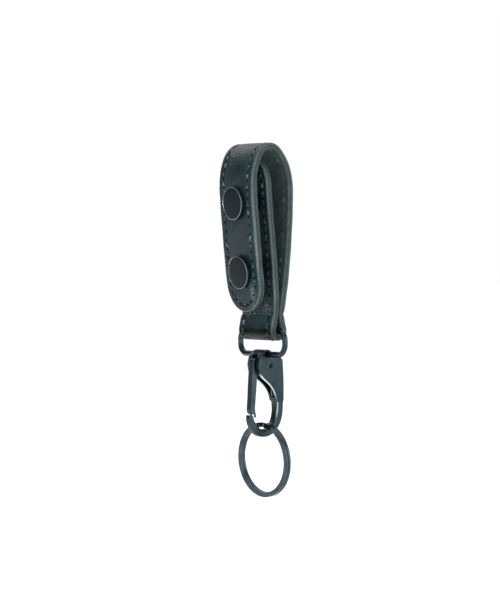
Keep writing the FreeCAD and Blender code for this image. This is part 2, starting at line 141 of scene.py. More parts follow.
@dataclass
class Surface:
    """A mesh on its way to Blender: points in millimetres, faces, and what its materials read."""

    points: Array
    faces: list
    material_index: Array | None = None
    unwrapped: Array | None = None
    measures: dict[str, Array] = field(default_factory=dict)

    def to_object(self, name: str, materials: list) -> bpy.types.Object:
        """Put the surface into a new smooth object at the origin, with its materials in slot order."""
        mesh = bpy.data.meshes.new(name)
        mesh.from_pydata((self.points * MM).tolist(), [], [tuple(map(int, f)) for f in self.faces])
        for material in materials:
            mesh.materials.append(material)
        if self.material_index is not None:
            mesh.polygons.foreach_set("material_index", self.material_index.astype(np.int32))
        corner_vertex = np.empty(len(mesh.loops), np.int32)
        mesh.loops.foreach_get("vertex_index", corner_vertex)
        if self.unwrapped is not None:
            layer = mesh.uv_layers.new(name="Unwrapped")
            layer.data.foreach_set("uv", self.unwrapped[corner_vertex].astype(np.float32).ravel())
        for label, values in self.measures.items():
            mesh.attributes.new(label, "FLOAT", "POINT").data.foreach_set("value", values.astype(np.float32))
        close_seams(mesh)
        mesh.polygons.foreach_set("use_smooth", np.ones(len(mesh.polygons), bool))
        mesh.update()
        piece = bpy.data.objects.new(name, mesh)
        bpy.context.scene.collection.objects.link(piece)
        return piece


def vertex_rows(mesh: bpy.types.Mesh, what: str) -> Array:
    """Return a vector of every vertex, such as co or normal, as rows of x, y and z."""
    values = np.empty(len(mesh.vertices) * 3, np.float32)
    mesh.vertices.foreach_get(what, values)
    return values.reshape(-1, 3).T


def together(parts: list[Surface]) -> Surface:
    """Return unwrapped surfaces as one."""
    faces, size = [], 0
    for part in parts:
        faces += [tuple(v + size for v in face) for face in part.faces]
        size += len(part.points)
    return Surface(np.vstack([p.points for p in parts]), faces, unwrapped=np.vstack([p.unwrapped for p in parts]))


def close_seams(mesh: bpy.types.Mesh) -> None:
    """Merge vertices that lie on each other and drop the faces that this flattens."""
    work = bmesh.new()
    work.from_mesh(mesh)
    bmesh.ops.remove_doubles(work, verts=work.verts, dist=1e-7)
    bmesh.ops.dissolve_degenerate(work, edges=work.edges, dist=1e-8)
    work.to_mesh(mesh)
    work.free()


def lathe(profile: Array, turns: int, centre: Array, axis: Array, side: Array) -> Surface:
    """Return a closed surface of revolution: each (radius, height) goes round the axis.

    Args:
        profile: rows of radius and height, from the axis round to the axis again.
        turns: steps round the circle.
        centre: the point at radius and height 0.
        axis: unit vector of height.
        side: unit vector square to the axis, at angle 0.
    Returns:
        The surface, unwrapped as radius and height.
    """
    profile = np.asarray(profile, float)
    angle = np.linspace(0, 2 * math.pi, turns, endpoint=False)[:, None]
    other = np.cross(axis, side)
    spoke = np.cos(angle)[..., None] * side + np.sin(angle)[..., None] * other
    points = centre + profile[None, :, :1] * spoke + profile[None, :, 1:] * axis
    points = points.reshape(-1, 3)
    quads = grid_faces(turns, len(profile), closed_rows=True)
    flat = (profile[None, :, :1] * np.concatenate([np.cos(angle), np.sin(angle)], 1)[:, None, :]).reshape(-1, 2)
    return Surface(points, outward(points - centre, quads), unwrapped=flat)


def swept(path: Array, across: Array, up: Array, section: Array, closed: bool) -> Surface:
    """Return a section carried along a path: point = path + across * section x + up * section y.

    Args:
        path: the path's points.
        across: unit vectors of the section's x at each point.
        up: unit vectors of the section's y at each point.
        section: the closed section's (x, y) points, or one such set for each path point.
        closed: whether the path meets its own start.
    Returns:
        The surface, with flat ends if the path is open, unwrapped as length and girth.
    """
    section = np.broadcast_to(section, (len(path),) + np.shape(section)[-2:])
    points = path[:, None] + section[..., :1] * across[:, None] + section[..., 1:] * up[:, None]
    rows, columns = points.shape[:2]
    flat_points = points.reshape(-1, 3)
    quads = grid_faces(rows, columns, closed, True)
    faces = outward(flat_points - flat_points.mean(0), quads)
    turned = faces is not quads
    faces = [tuple(face) for face in faces]
    if not closed:
        first, last = list(range(columns)), list(range((rows - 1) * columns, rows * columns))
        faces += [tuple(first if turned else first[::-1]), tuple(last[::-1] if turned else last)]
    length = np.concatenate([[0], np.cumsum(np.linalg.norm(np.diff(path, axis=0), axis=1))])
    girth = np.linspace(0, 1, columns, endpoint=False) * 2 * math.pi * np.abs(section[..., 0]).max()
    unwrapped = np.stack(np.meshgrid(length, girth, indexing="ij"), -1).reshape(-1, 2)
    return Surface(flat_points, faces, unwrapped=unwrapped)


def softened(name: str, node: str, voxel: float, rounds: int) -> bpy.types.Object:
    """Return a copy of a CAD node with its edges rounded as casting or tumbling leaves them.

    Args:
        name: the new piece's name.
        node: the CAD node to copy.
        voxel: size of the new mesh's cells.
        rounds: how many times the surface is relaxed.
    Returns:
        The new object, linked to the scene.
    """
    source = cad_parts[node]
    mesh = source.data.copy()
    mesh.transform(source.matrix_world)
    close_seams(mesh)
    piece = bpy.data.objects.new(name, mesh)
    bpy.context.scene.collection.objects.link(piece)
    cells = piece.modifiers.new("cells", "REMESH")
    cells.mode = "VOXEL"
    cells.voxel_size = voxel * MM
    relax = piece.modifiers.new("relax", "SMOOTH")
    relax.factor = 0.5
    relax.iterations = rounds
    graph = bpy.context.evaluated_depsgraph_get()
    finished = bpy.data.meshes.new_from_object(piece.evaluated_get(graph), depsgraph=graph)
    piece.modifiers.clear()
    finished.name = name
    piece.data = finished
    finished.materials.clear()
    finished.polygons.foreach_set("use_smooth", np.ones(len(finished.polygons), bool))
    return piece


# ---------------------------------------------------------------- finishes

def linear(code: str) -> tuple[float, float, float, float]:
    """Return an sRGB hex colour as linear red, green, blue and full alpha."""
    shares = np.array([int(code[i:i + 2], 16) for i in (1, 3, 5)]) / 255
    values = np.where(shares <= 0.04045, shares / 12.92, ((shares + 0.055) / 1.055) ** 2.4)
    return (*map(float, values), 1.0)


def grey(value: float) -> tuple[float, float, float, float]:
    """Return a grey for a ramp stop."""
    return (value, value, value, 1.0)


@dataclass
class Graph:
    """A node tree in the making."""

    tree: bpy.types.NodeTree

    def feed(self, node: bpy.types.Node, inputs: dict) -> None:
        """Give each input, by name or number, its value or a link from the output that feeds it."""
        for label, value in inputs.items():
            if isinstance(value, Socket):
                self.tree.links.new(value, node.inputs[label])
            else:
                node.inputs[label].default_value = value

    def add(self, kind: str, inputs: dict, out: int | str = 0, stops: tuple = (), **settings: str) -> Any:
        """Add a node and return one of its outputs.

        Args:
            kind: the node's type, without ShaderNode.
            inputs: what feeds its inputs.
            out: the output to return, by name or number.
            stops: a colour ramp's (position, colour) pairs.
            settings: attributes to set.
        Returns:
            The output socket, or None if the node has none.
        """
        node = self.tree.nodes.new("ShaderNode" + kind)
        for label, value in settings.items():
            setattr(node, label, value)
        for element, (position, colour) in zip(node.color_ramp.elements if stops else (), stops):
            element.position, element.color = position, colour
        self.feed(node, inputs)
        return node.outputs[out] if len(node.outputs) else None


class Follows(Enum):
    """What a pattern follows: the piece's own unwrapped surface, or its place in space."""

    SURFACE = "UV"
    SPACE = "Object"


class Paint(Graph):
    """A new material with one shader, and its coordinates in millimetres."""

    def __init__(self, name: str, follows: Follows) -> None:
        """Start the material."""
        self.material = bpy.data.materials.new(name)
        self.material.use_nodes = True
        super().__init__(self.material.node_tree)
        self.tree.nodes.clear()
        self.shader = self.tree.nodes.new("ShaderNodeBsdfPrincipled")
        self.add("OutputMaterial", {"Surface": self.shader.outputs["BSDF"]})
        per_mm = 1.0 if follows is Follows.SURFACE else 1.0 / MM
        source = self.add("TexCoord", {}, follows.value)
        self.place = self.add("VectorMath", {0: source, "Scale": per_mm}, operation="SCALE")

    def gloss(self, pattern: Socket, roughness: tuple[float, float]) -> Socket:
        """Return a roughness that goes from low to high with a pattern."""
        low, high = roughness
        return self.add("MapRange", {"Value": pattern, "From Min": 0.3, "From Max": 0.7, "To Min": low,
                                     "To Max": high})

    def done(self, inputs: dict) -> bpy.types.Material:
        """Feed the shader and return the material."""
        self.feed(self.shader, inputs)
        return self.material


@dataclass(frozen=True)
class Leather:
    """Black full-grain cowhide, drum dyed and plated: fine pebbles, soft sheen, burnished near edges."""

    name: str = "black_grain_leather"
    dark: str = "#0c1b1f"
    light: str = "#1b3438"
    # pale colour of the worn edge, and of the painted highlights on the creases
    burnish_and_highlight: str = "#8b9f9f"
    # painted shade and painted reflection: near-black for the sewn groove's shade and the fold's dark reflection band
    groove: str = "#04090a"
    pebble: float = 0.9           # millimetres across one pebble of grain
    mottle: float = 9.0           # millimetres across one patch of dye
    roughness: tuple[float, float] = (0.32, 0.46)
    polished: float = 0.2         # roughness where the fold is polished
    pebble_depth: float = 0.17
    wrinkle_depth: float = 1.1
    specular: float = 0.22
    dulled: float = 0.008         # specular level in the sewn groove and on the polished band
    stitch_line: float = 3.0

    def make(self) -> bpy.types.Material:
        """Build the material: dye, wear, painted shade and painted highlights in colour; grain and wrinkles in relief.
        """
        paint = Paint(self.name, Follows.SURFACE)
        patches = paint.add("TexNoise", {"Vector": paint.place, "Scale": 1 / self.mottle, "Detail": 5.0,
                                         "Roughness": 0.6})
        # the fold's polished band: lower roughness and specular, and a painted dark reflection in its colour
        polish_and_dark_reflection = paint.add("Attribute", {}, "Fac", attribute_name="polish_and_dark_reflection")
        inset = paint.add("Attribute", {}, "Fac", attribute_name="inset")
        rubbed = self.rubbed(paint, self.dye(paint, patches, polish_and_dark_reflection), inset)
        # painted shade: the colour darkens along the sewn groove, where shade falls
        from_seam = paint.add("Math", {0: inset, 1: self.stitch_line}, operation="SUBTRACT")
        seam_gap = paint.add("Math", {0: from_seam}, operation="ABSOLUTE")
        groove_shade = paint.add("MapRange", {"Value": seam_gap, "From Min": 0.25, "From Max": 0.62, "To Min": 0.92,
                                        "To Max": 0.0}, interpolation_type="SMOOTHSTEP")
        sewn = paint.add("Mix", {"Factor": groove_shade, "A": rubbed, "B": linear(self.groove)}, 2, data_type="RGBA")
        dull = paint.add("Math", {0: groove_shade, 1: polish_and_dark_reflection}, operation="MAXIMUM")
        shine = paint.add("MapRange", {"Value": dull, "To Min": self.specular, "To Max": self.dulled})
        gloss = paint.gloss(patches, self.roughness)
        sleek = paint.add("Mix", {"Factor": polish_and_dark_reflection, "A": gloss, "B": self.polished}, data_type="FLOAT")
        return paint.done({"Base Color": sewn, "Specular IOR Level": shine, "Roughness": sleek,
                           "Normal": self.relief(paint)})

    def dye(self, paint: Paint, patches: Socket, polish_and_dark_reflection: Socket) -> Socket:
        """Return the mottled dye, with a painted dark reflection across the fold's polished band."""
        fine = paint.add("TexNoise", {"Vector": paint.place, "Scale": 1.3, "Detail": 6.0, "Roughness": 0.75})
        clouded = paint.add("Mix", {"Factor": 0.55, "A": patches, "B": fine}, data_type="FLOAT")
        even = paint.add("ValToRGB", {"Fac": clouded}, stops=((0.4, linear(self.dark)), (0.6, linear(self.light))))
        return paint.add("Mix", {"Factor": polish_and_dark_reflection, "A": even, "B": linear(self.groove)}, 2, data_type="RGBA")

    def rubbed(self, paint: Paint, dye: Socket, inset: Socket) -> Socket:
        """Return the dye rubbed pale along the edge, with painted highlights on the creases."""
        near_edge = paint.add("MapRange", {"Value": inset, "From Min": 0.08, "From Max": 0.55, "To Min": 1.0,
                                           "To Max": 0.0}, interpolation_type="SMOOTHSTEP")
        flecks = paint.add("TexNoise", {"Vector": paint.place, "Scale": 1.5, "Detail": 3.0, "Roughness": 0.7})
        speckle = paint.add("MapRange", {"Value": flecks, "From Min": 0.4, "From Max": 0.64, "To Min": 0.3,
                                         "To Max": 0.85})
        flecked = paint.add("Math", {0: near_edge, 1: speckle}, operation="MULTIPLY")
        rub = paint.add("Attribute", {}, "Fac", attribute_name="rub")
        worn = paint.add("Math", {0: flecked, 1: rub}, operation="MULTIPLY")
        # painted highlight: pale flecks on the creases, where the wrinkles catch the light
        crease_highlight_noise = paint.add("TexNoise", {"Vector": paint.place, "Scale": 0.9, "Detail": 5.0, "Roughness": 0.75,
                                        "Distortion": 1.5})
        crease_highlight_flecks = paint.add("MapRange", {"Value": crease_highlight_noise, "From Min": 0.46, "From Max": 0.62})
        crease_highlight = paint.add("Attribute", {}, "Fac", attribute_name="crease_highlight")
        wear_and_crease_highlight = paint.add("Math", {0: crease_highlight_flecks, 1: crease_highlight, 2: worn}, operation="MULTIPLY_ADD")
        return paint.add("Mix", {"Factor": wear_and_crease_highlight, "A": dye, "B": linear(self.burnish_and_highlight)}, 2, data_type="RGBA")

    def relief(self, paint: Paint) -> Socket:
        """Return the grain's pebbles and pores, with wrinkles where the leather is creased."""
        cells = paint.add("TexVoronoi", {"Vector": paint.place, "Scale": 1 / self.pebble, "Randomness": 0.9},
                          feature="DISTANCE_TO_EDGE")
        pebbles = paint.add("ValToRGB", {"Fac": cells}, stops=((0.0, grey(0.0)), (0.16, grey(1.0))))
        pores = paint.add("TexNoise", {"Vector": paint.place, "Scale": 3.2 / self.pebble, "Detail": 4.0})
        grain = paint.add("Mix", {"Factor": 0.45, "A": pebbles, "B": pores}, data_type="FLOAT")
        grain_bump = paint.add("Bump", {"Height": grain, "Strength": 0.55, "Distance": self.pebble_depth * MM})
        stretched = paint.add("Mapping", {"Vector": paint.place, "Rotation": (0, 0, 0.6), "Scale": (0.9, 0.22, 1.0)})
        folds = paint.add("TexNoise", {"Vector": stretched, "Scale": 1.7, "Detail": 4.0, "Roughness": 0.6,
                                       "Distortion": 0.6})
        crease = paint.add("Attribute", {}, "Fac", attribute_name="crease")
        folded = paint.add("Math", {0: folds, 1: crease}, operation="MULTIPLY")
        return paint.add("Bump", {"Height": folded, "Strength": 1.0, "Distance": self.wrinkle_depth * MM,
                                  "Normal": grain_bump})


@dataclass(frozen=True)
class CutEdge:
    """Cut and dyed leather edge: packed fibres along the cut, a paler grey-green where the dye is thin."""

    name: str = "dyed_leather_edge"
    dark: str = "#182423"
    light: str = "#3d4f4d"
    seam: str = "#1a2424"
    fibre: float = 0.35           # millimetres between fibre bundles

    def make(self) -> bpy.types.Material:
        """Build the material: fibres drawn out along the edge, with a darker glue line between layers."""
        paint = Paint(self.name, Follows.SURFACE)
        drawn = paint.add("Mapping", {"Vector": paint.place, "Scale": (0.35, 1.0, 1.0)})
        fibres = paint.add("TexNoise", {"Vector": drawn, "Scale": 1 / self.fibre, "Detail": 6.0, "Roughness": 0.7})
        patches = paint.add("TexNoise", {"Vector": paint.place, "Scale": 0.35, "Detail": 2.0})
        mixed = paint.add("Mix", {"Factor": 0.35, "A": fibres, "B": patches}, data_type="FLOAT")
        dye = paint.add("ValToRGB", {"Fac": mixed}, stops=((0.34, linear(self.dark)), (0.66, linear(self.light))))
        glue = paint.add("Attribute", {}, "Fac", attribute_name="glue_line")
        lined = paint.add("Mix", {"Factor": glue, "A": dye, "B": linear(self.seam)}, 2, data_type="RGBA")
        relief = paint.add("Bump", {"Height": fibres, "Strength": 0.6, "Distance": 0.12 * MM})
        return paint.done({"Base Color": lined, "Normal": relief, "Roughness": 0.62, "Specular IOR Level": 0.3})


@dataclass(frozen=True)
class Lining:
    """Split-leather lining: a matt, short-napped face with broad cloudy patches and no grain."""

    name: str = "black_split_lining"
    dark: str = "#2a3b39"
    light: str = "#4a5b59"
    nap: float = 0.28             # millimetres between tufts of nap
    cloud: float = 0.16           # patches of dye to a millimetre

    def make(self) -> bpy.types.Material:
        """Build the material: cloudy dye and a fine nap."""
        paint = Paint(self.name, Follows.SURFACE)
        clouds = paint.add("TexNoise", {"Vector": paint.place, "Scale": self.cloud, "Detail": 6.0, "Roughness": 0.65})
        nap = paint.add("TexNoise", {"Vector": paint.place, "Scale": 1 / self.nap, "Detail": 3.0})
        mixed = paint.add("Mix", {"Factor": 0.4, "A": clouds, "B": nap}, data_type="FLOAT")
        dye = paint.add("ValToRGB", {"Fac": mixed}, stops=((0.36, linear(self.dark)), (0.66, linear(self.light))))
        relief = paint.add("Bump", {"Height": nap, "Strength": 0.5, "Distance": 0.08 * MM})
        return paint.done({"Base Color": dye, "Normal": relief, "Roughness": 0.78, "Specular IOR Level": 0.25})


@dataclass(frozen=True)
class Thread:
    """Bonded polyester thread, waxed black: three plies, with small glints painted pale in runs."""

    name: str = "waxed_black_thread"
    dark: str = "#0c1212"
    light: str = "#394a4a"
    glint: str = "#8fa3a4"
    ply: float = 0.55             # millimetres along the thread for one ply
    glint_run: float = 2.4       # millimetres of thread painted with a glint at a time

    def make(self) -> bpy.types.Material:
        """Build the material: slanting ply bands in colour and relief, with painted glints in runs."""
        paint = Paint(self.name, Follows.SURFACE)
        plies = paint.add("TexWave", {"Vector": paint.place, "Scale": 1 / self.ply, "Distortion": 0.4, "Detail": 1.0},
                          "Fac", bands_direction="DIAGONAL")
        dye = paint.add("ValToRGB", {"Fac": plies}, stops=((0.1, linear(self.dark)), (0.9, linear(self.light))))
        # painted highlight: runs of thread mixed towards the pale glint colour
        rubs = paint.add("TexNoise", {"Vector": paint.place, "Scale": 1 / self.glint_run, "Detail": 2.0})
        bright = paint.add("MapRange", {"Value": rubs, "From Min": 0.5, "From Max": 0.66, "To Max": 0.8})
        worn = paint.add("Mix", {"Factor": bright, "A": dye, "B": linear(self.glint)}, 2, data_type="RGBA")
        relief = paint.add("Bump", {"Height": plies, "Strength": 0.7, "Distance": 0.06 * MM})
        return paint.done({"Base Color": worn, "Normal": relief, "Roughness": 0.34})


@dataclass(frozen=True)
class Enamel:
    """Black baked enamel on a pressed brass cap: satin, faint orange peel, a thin pale metallic ring painted at the
    rim as its highlight.
    """

    name: str = "black_baked_enamel"
    base: str = "#0a171b"
    rubbed: str = "#122126"
    # painted highlight: pale metal colour of the thin ring at the rim
    rim: str = "#93a6ab"
    rim_radius: float = 6.42      # millimetres from the middle to the bent shoulder, where the highlight ring is painted
    specular: float = 0.1
    peel: float = 0.7             # millimetres across one dimple of orange peel
    roughness: tuple[float, float] = (0.3, 0.42)

    def make(self) -> bpy.types.Material:
        """Build the material: a near-even black with rub marks in roughness, a painted highlight ring at the rim and a
        low peel in relief.
        """
        paint = Paint(self.name, Follows.SURFACE)
        rubs = paint.add("Mapping", {"Vector": paint.place, "Scale": (2.2, 0.3, 1.0)})
        hairs = paint.add("TexNoise", {"Vector": rubs, "Scale": 1.4, "Detail": 7.0, "Roughness": 0.7})
        colour = paint.add("ValToRGB", {"Fac": hairs}, stops=((0.35, linear(self.base)), (0.75, linear(self.rubbed))))
        # painted highlight: a thin metallic ring at the shoulder's radius, where the rim catches the light
        reach = paint.add("VectorMath", {0: paint.place}, "Value", operation="LENGTH")
        off = paint.add("Math", {0: reach, 1: self.rim_radius}, operation="SUBTRACT")
        gap = paint.add("Math", {0: off}, operation="ABSOLUTE")
        thin = paint.add("MapRange", {"Value": gap, "From Min": 0.03, "From Max": 0.15, "To Min": 0.85, "To Max": 0.0},
                         interpolation_type="SMOOTHSTEP")
        bare = paint.add("Mix", {"Factor": thin, "A": colour, "B": linear(self.rim)}, 2, data_type="RGBA")
        peel = paint.add("TexNoise", {"Vector": paint.place, "Scale": 1 / self.peel, "Detail": 2.0})
        relief = paint.add("Bump", {"Height": peel, "Strength": 0.25, "Distance": 0.03 * MM})
        return paint.done({"Base Color": bare, "Metallic": thin, "Roughness": paint.gloss(hairs, self.roughness),
                           "Normal": relief, "Specular IOR Level": self.specular})


@dataclass(frozen=True)
class BlackMetal:
    """Metal under a thin black finish: what is under it shows as a cool grey sheen and brighter worn edges, with
    painted highlights of pale bare metal where marked.
    """

    name: str
    base: str
    worn: str
    metallic: float = 1.0
    # painted highlight: pale bare metal mixed in where the 'wear' attribute is set
    bare: str = "#c3d0d4"
    roughness: tuple[float, float] = (0.3, 0.45)
    grit: float = 0.35            # millimetres across the finish's texture
    grit_depth: float = 0.02
    patches: float = 5.0          # millimetres across a patch of wear

    def make(self) -> bpy.types.Material:
        """Build the material: cloudy wear, paler convex edges, painted highlights of pale bare metal from the 'wear'
        attribute, fine grit in relief and roughness.
        """
        paint = Paint(self.name, Follows.SPACE)
        clouds = paint.add("TexNoise", {"Vector": paint.place, "Scale": 1 / self.patches, "Detail": 6.0,
                                        "Roughness": 0.65})
        edges = paint.add("NewGeometry", {}, "Pointiness")
        ridge = paint.add("MapRange", {"Value": edges, "From Min": 0.52, "From Max": 0.62, "To Min": 0.0,
                                       "To Max": 0.6}, interpolation_type="SMOOTHSTEP")
        share = paint.add("MapRange", {"Value": clouds, "From Min": 0.35, "From Max": 0.8, "To Min": 0.0,
                                       "To Max": 0.5})
        wear = paint.add("Math", {0: ridge, 1: share}, operation="MAXIMUM")
        colour = paint.add("Mix", {"Factor": wear, "A": linear(self.base), "B": linear(self.worn)}, 2,
                           data_type="RGBA")
        # painted highlight: the 'wear' attribute mixes in pale bare metal
        rubbed = paint.add("Attribute", {}, "Fac", attribute_name="wear")
        shown = paint.add("Mix", {"Factor": rubbed, "A": colour, "B": linear(self.bare)}, 2, data_type="RGBA")
        grit = paint.add("TexNoise", {"Vector": paint.place, "Scale": 1 / self.grit, "Detail": 3.0})
        relief = paint.add("Bump", {"Height": grit, "Strength": 0.4, "Distance": self.grit_depth * MM})
        return paint.done({"Base Color": shown, "Roughness": paint.gloss(grit, self.roughness), "Normal": relief,
                           "Metallic": self.metallic})


@dataclass(frozen=True)
class StudioPaper:
    """Matt white background paper, lit from all round: it shows nearly white with no pattern of its own."""

    name: str = "white_studio_paper"

    def make(self) -> bpy.types.Material:
        """Build the material: off-white with a very fine tooth."""
        paint = Paint(self.name, Follows.SPACE)
        tooth = paint.add("TexNoise", {"Vector": paint.place, "Scale": 0.8, "Detail": 2.0})
        colour = paint.add("ValToRGB", {"Fac": tooth}, stops=((0.3, linear("#fbfbfb")), (0.7, linear("#ffffff"))))
        return paint.done({"Base Color": colour, "Roughness": 0.9})


class Finish(Enum):
    """Every finish on the object, made once and shared."""

    LEATHER = Leather()
    EDGE = CutEdge()
    LINING = Lining()
    THREAD = Thread()
    CAP = Enamel()
    SNAP = BlackMetal("black_oxidised_brass", "#23292a", "#4a4a3f", roughness=(0.32, 0.5), grit=0.5)
    RING = BlackMetal("satin_black_plated_wire", "#2b383d", "#4c5b62", roughness=(0.13, 0.2), grit=0.6,
                      grit_depth=0.006)
    HOOK = BlackMetal("satin_black_zinc_casting", "#2d3a3e", "#45555b", roughness=(0.32, 0.42), grit=0.3)
    GATE = BlackMetal("satin_black_pressed_steel", "#313f44", "#4f6067", roughness=(0.28, 0.38), grit_depth=0.012)
    SPRING = BlackMetal("bright_spring_wire", "#9a9c9c", "#c8caca", roughness=(0.2, 0.3), grit_depth=0.008)
    KEY = BlackMetal("black_oxide_spring_band", "#35444a", "#66777f", roughness=(0.14, 0.22), grit=0.5,
                     grit_depth=0.006)
    PAPER = StudioPaper()

    def material(self) -> bpy.types.Material:
        """Return the finish's material, making it the first time."""
        return bpy.data.materials.get(self.value.name) or self.value.make()


# ---------------------------------------------------------------- the leather strip

@dataclass
class Strip:
    """The sewn two-layer strip: its line in the middle plane, its outline and the places along it."""

    width: float = 22.5
    flap_end_z: float = -64.6
    tab_tip_z: float = -3.0
    thread_inset: float = 3.0
    layer_share: float = 0.55
    fold_y: float = 3.1
    fold_z: float = -71.9
    fold_radius: float = 4.1
    seam_z: float = -65.4
    flap_line: tuple = (
        (2.7, -5.2, -66.0), (2.7, -5.8, -60.0), (2.9, -7.0, -50.5), (3.0, -8.1, -41.5), (3.1, -9.1, -32.0),
        (3.1, -9.9, -23.0), (3.0, -10.3, -14.5), (2.9, -9.9, -8.5), (2.8, -8.5, -3.6), (2.6, -5.5, 0.75),
    )
    back_line: tuple = (
        (2.5, -1.2, 2.6), (2.5, 2.6, 1.7), (2.6, 5.7, -1.4), (2.7, 8.1, -5.4), (2.7, 9.6, -10.0),
        (2.7, 10.2, -16.0), (2.7, 10.2, -24.0), (2.7, 9.9, -32.0), (2.7, 9.2, -41.0), (2.7, 8.2, -50.0),
        (2.7, 7.2, -58.0), (2.65, 6.35, -63.2), (2.6, 6.05, -65.6),
    )
    tab_line: tuple = (
        (2.6, 0.35, -65.6), (2.65, 0.85, -62.5), (2.7, 0.75, -57.5), (2.7, 0.05, -49.0), (2.7, -0.75, -40.0),
        (2.7, -1.7, -30.0), (2.7, -2.6, -20.0), (2.7, -3.15, -12.0), (2.7, -3.4, -2.6),
    )
    fold_thickness: float = 2.8
    mean_thickness: float = 2.7
    samples: int = 6000
    join_past_top: float = 1.0    # the strap's and the flap's lengths meet this far behind the arch's top
    bend_before_top: float = 12.5 # how far before the arch's top the flap's bend would end; worked out in bend_flap but not used

    def __post_init__(self) -> None:
        """Work out the line, its length, its directions and where its ends and crossings are."""
        turn = np.radians([20, -15, -50, -90, -130, -165, -200])
        fold = np.stack([np.full(turn.shape, self.fold_thickness),
                         self.fold_y + self.fold_radius * np.cos(turn),
                         self.fold_z + self.fold_radius * np.sin(turn)], 1)
        line = smooth_line(np.vstack([self.flap_line, self.back_line, fold, self.tab_line]), self.samples)
        self.thickness, self.y, self.z = line.T
        steps = np.hypot(np.diff(self.y), np.diff(self.z))
        self.length = np.concatenate([[0], np.cumsum(steps)])
        along = np.stack([np.gradient(self.y, self.length), np.gradient(self.z, self.length)], 1)
        along /= np.linalg.norm(along, axis=1)[:, None]
        self.inward = np.stack([along[:, 1], -along[:, 0]], 1)
        self.radius = self.width / 2
        top = int(np.argmax(self.z))
        fold_bottom = int(np.argmin(self.z))
        self.start = float(np.interp(self.flap_end_z, self.z[:top], self.length[:top]))
        tab_z, tab_length = self.z[fold_bottom:], self.length[fold_bottom:]
        self.end = float(np.interp(self.tab_tip_z, tab_z, tab_length))
        if tab_z[-1] < self.tab_tip_z:
            self.end = float(tab_length[-1] + self.tab_tip_z - tab_z[-1])
        self.top = float(self.length[top])
        back = slice(top, fold_bottom)
        self.back_seam = float(np.interp(-self.seam_z, -self.z[back], self.length[back]))
        self.tab_seam = float(np.interp(self.seam_z, tab_z, tab_length))
        self.fold_bottom = float(self.length[fold_bottom])
        self.join = self.top + self.join_past_top

    def flap_at(self, height: float) -> float:
        """Return the length along the strip where the flap's outer face is at a height."""
        top = int(np.argmax(self.z))
        return float(np.interp(height, self.z[:top], self.length[:top]))

    def place(self, along: Array, across: Array, depth: Array) -> Array:
        """Return points: the line at a length, plus its inward direction times a depth, at an x.

        Args:
            along: lengths along the outer face.
            across: x.
            depth: depth under the outer face, negative above it.
        Returns:
            Points in millimetres.
        """
        past = np.maximum(along - self.length[-1], 0)
        y = np.interp(along, self.length, self.y)
        z = np.interp(along, self.length, self.z) + past
        inward_y = np.interp(along, self.length, self.inward[:, 0])
        inward_z = np.interp(along, self.length, self.inward[:, 1])
        return np.stack(np.broadcast_arrays(across, y + inward_y * depth, z + inward_z * depth), -1)

    def thick(self, along: Array) -> Array:
        """Return the strip's thickness at lengths along it."""
        return np.interp(along, self.length, self.thickness)

    def stitch_path(self, at: Array) -> tuple[Array, Array, Array, Array]:
        """Return the stitch line's (along, across) and its unit direction at lengths round the outline."""
        r = self.radius - self.thread_inset
        straight = self.end - self.start - 2 * self.radius
        arc = math.pi * r
        at = np.mod(at, self.stitch_length())
        first = np.clip(at, 0, arc) / r + math.pi
        rise = np.clip(at - arc, 0, straight)
        second = np.clip(at - arc - straight, 0, arc) / r
        fall = np.clip(at - 2 * arc - straight, 0, straight)
        on_tab = at > arc + straight
        angle = np.where(on_tab, second, first)
        along = np.where(on_tab, self.end - self.radius - fall, self.start + self.radius + rise)
        along = along + r * np.sin(angle)
        return along, r * np.cos(angle), np.cos(angle), -np.sin(angle)

    def stitch_length(self) -> float:
        """Return the length of the stitch line round the whole outline."""
        r = self.radius - self.thread_inset
        return 2 * (self.end - self.start - 2 * self.radius) + 2 * math.pi * r


